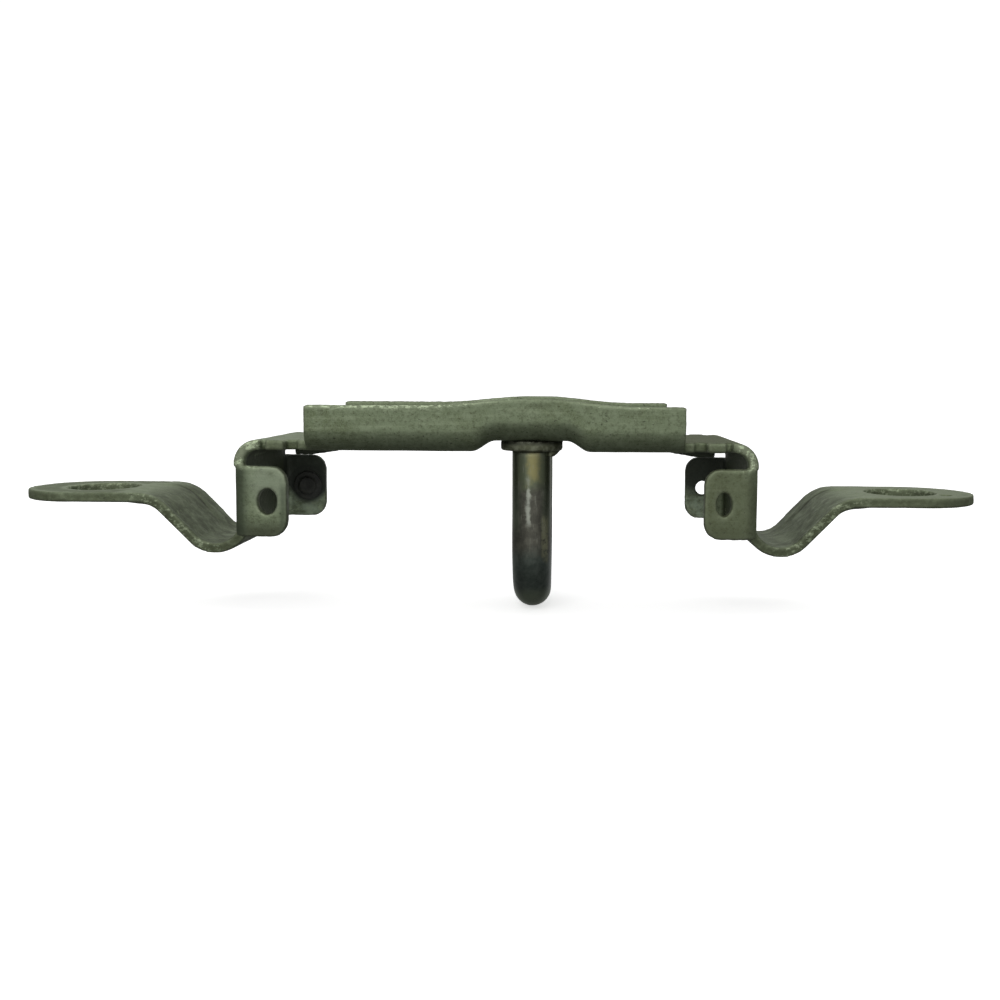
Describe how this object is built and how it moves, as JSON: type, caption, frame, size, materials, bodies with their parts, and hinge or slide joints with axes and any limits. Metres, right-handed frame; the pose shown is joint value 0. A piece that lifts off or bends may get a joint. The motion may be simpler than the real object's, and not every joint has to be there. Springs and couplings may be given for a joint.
{
  "type": "latch striker bracket",
  "caption": "Pressed steel strap with a raised channel, cranked feet and folded ears, carrying a riveted round-wire striker loop.",
  "frame": {"origin": "midway between the two fixing holes, in the plane of the feet's upper faces", "axes": "+X along the bracket towards the foot with the small second hole, +Z away from the loop's closed end, +Y towards the ear that holds the plug"},
  "size_m": [0.2038, 0.042, 0.0453],
  "materials": {
    "zinced_steel": "dull olive-grey zinc plating, scratched and pitted, bright at the sheared edges",
    "worn_steel": "bare wire polished by the latch, with brown and dark blue-green stains",
    "collar_steel": "dull plated steel, darkened with old grease",
    "dark_plug": "near black, greasy"
  },
  "bodies": {
    "root": {"bracket": "zinced_steel", "striker_loop": "worn_steel", "front_collar": "collar_steel", "rear_collar": "collar_steel", "ear_plug": "dark_plug"}
  },
  "joints": []
}
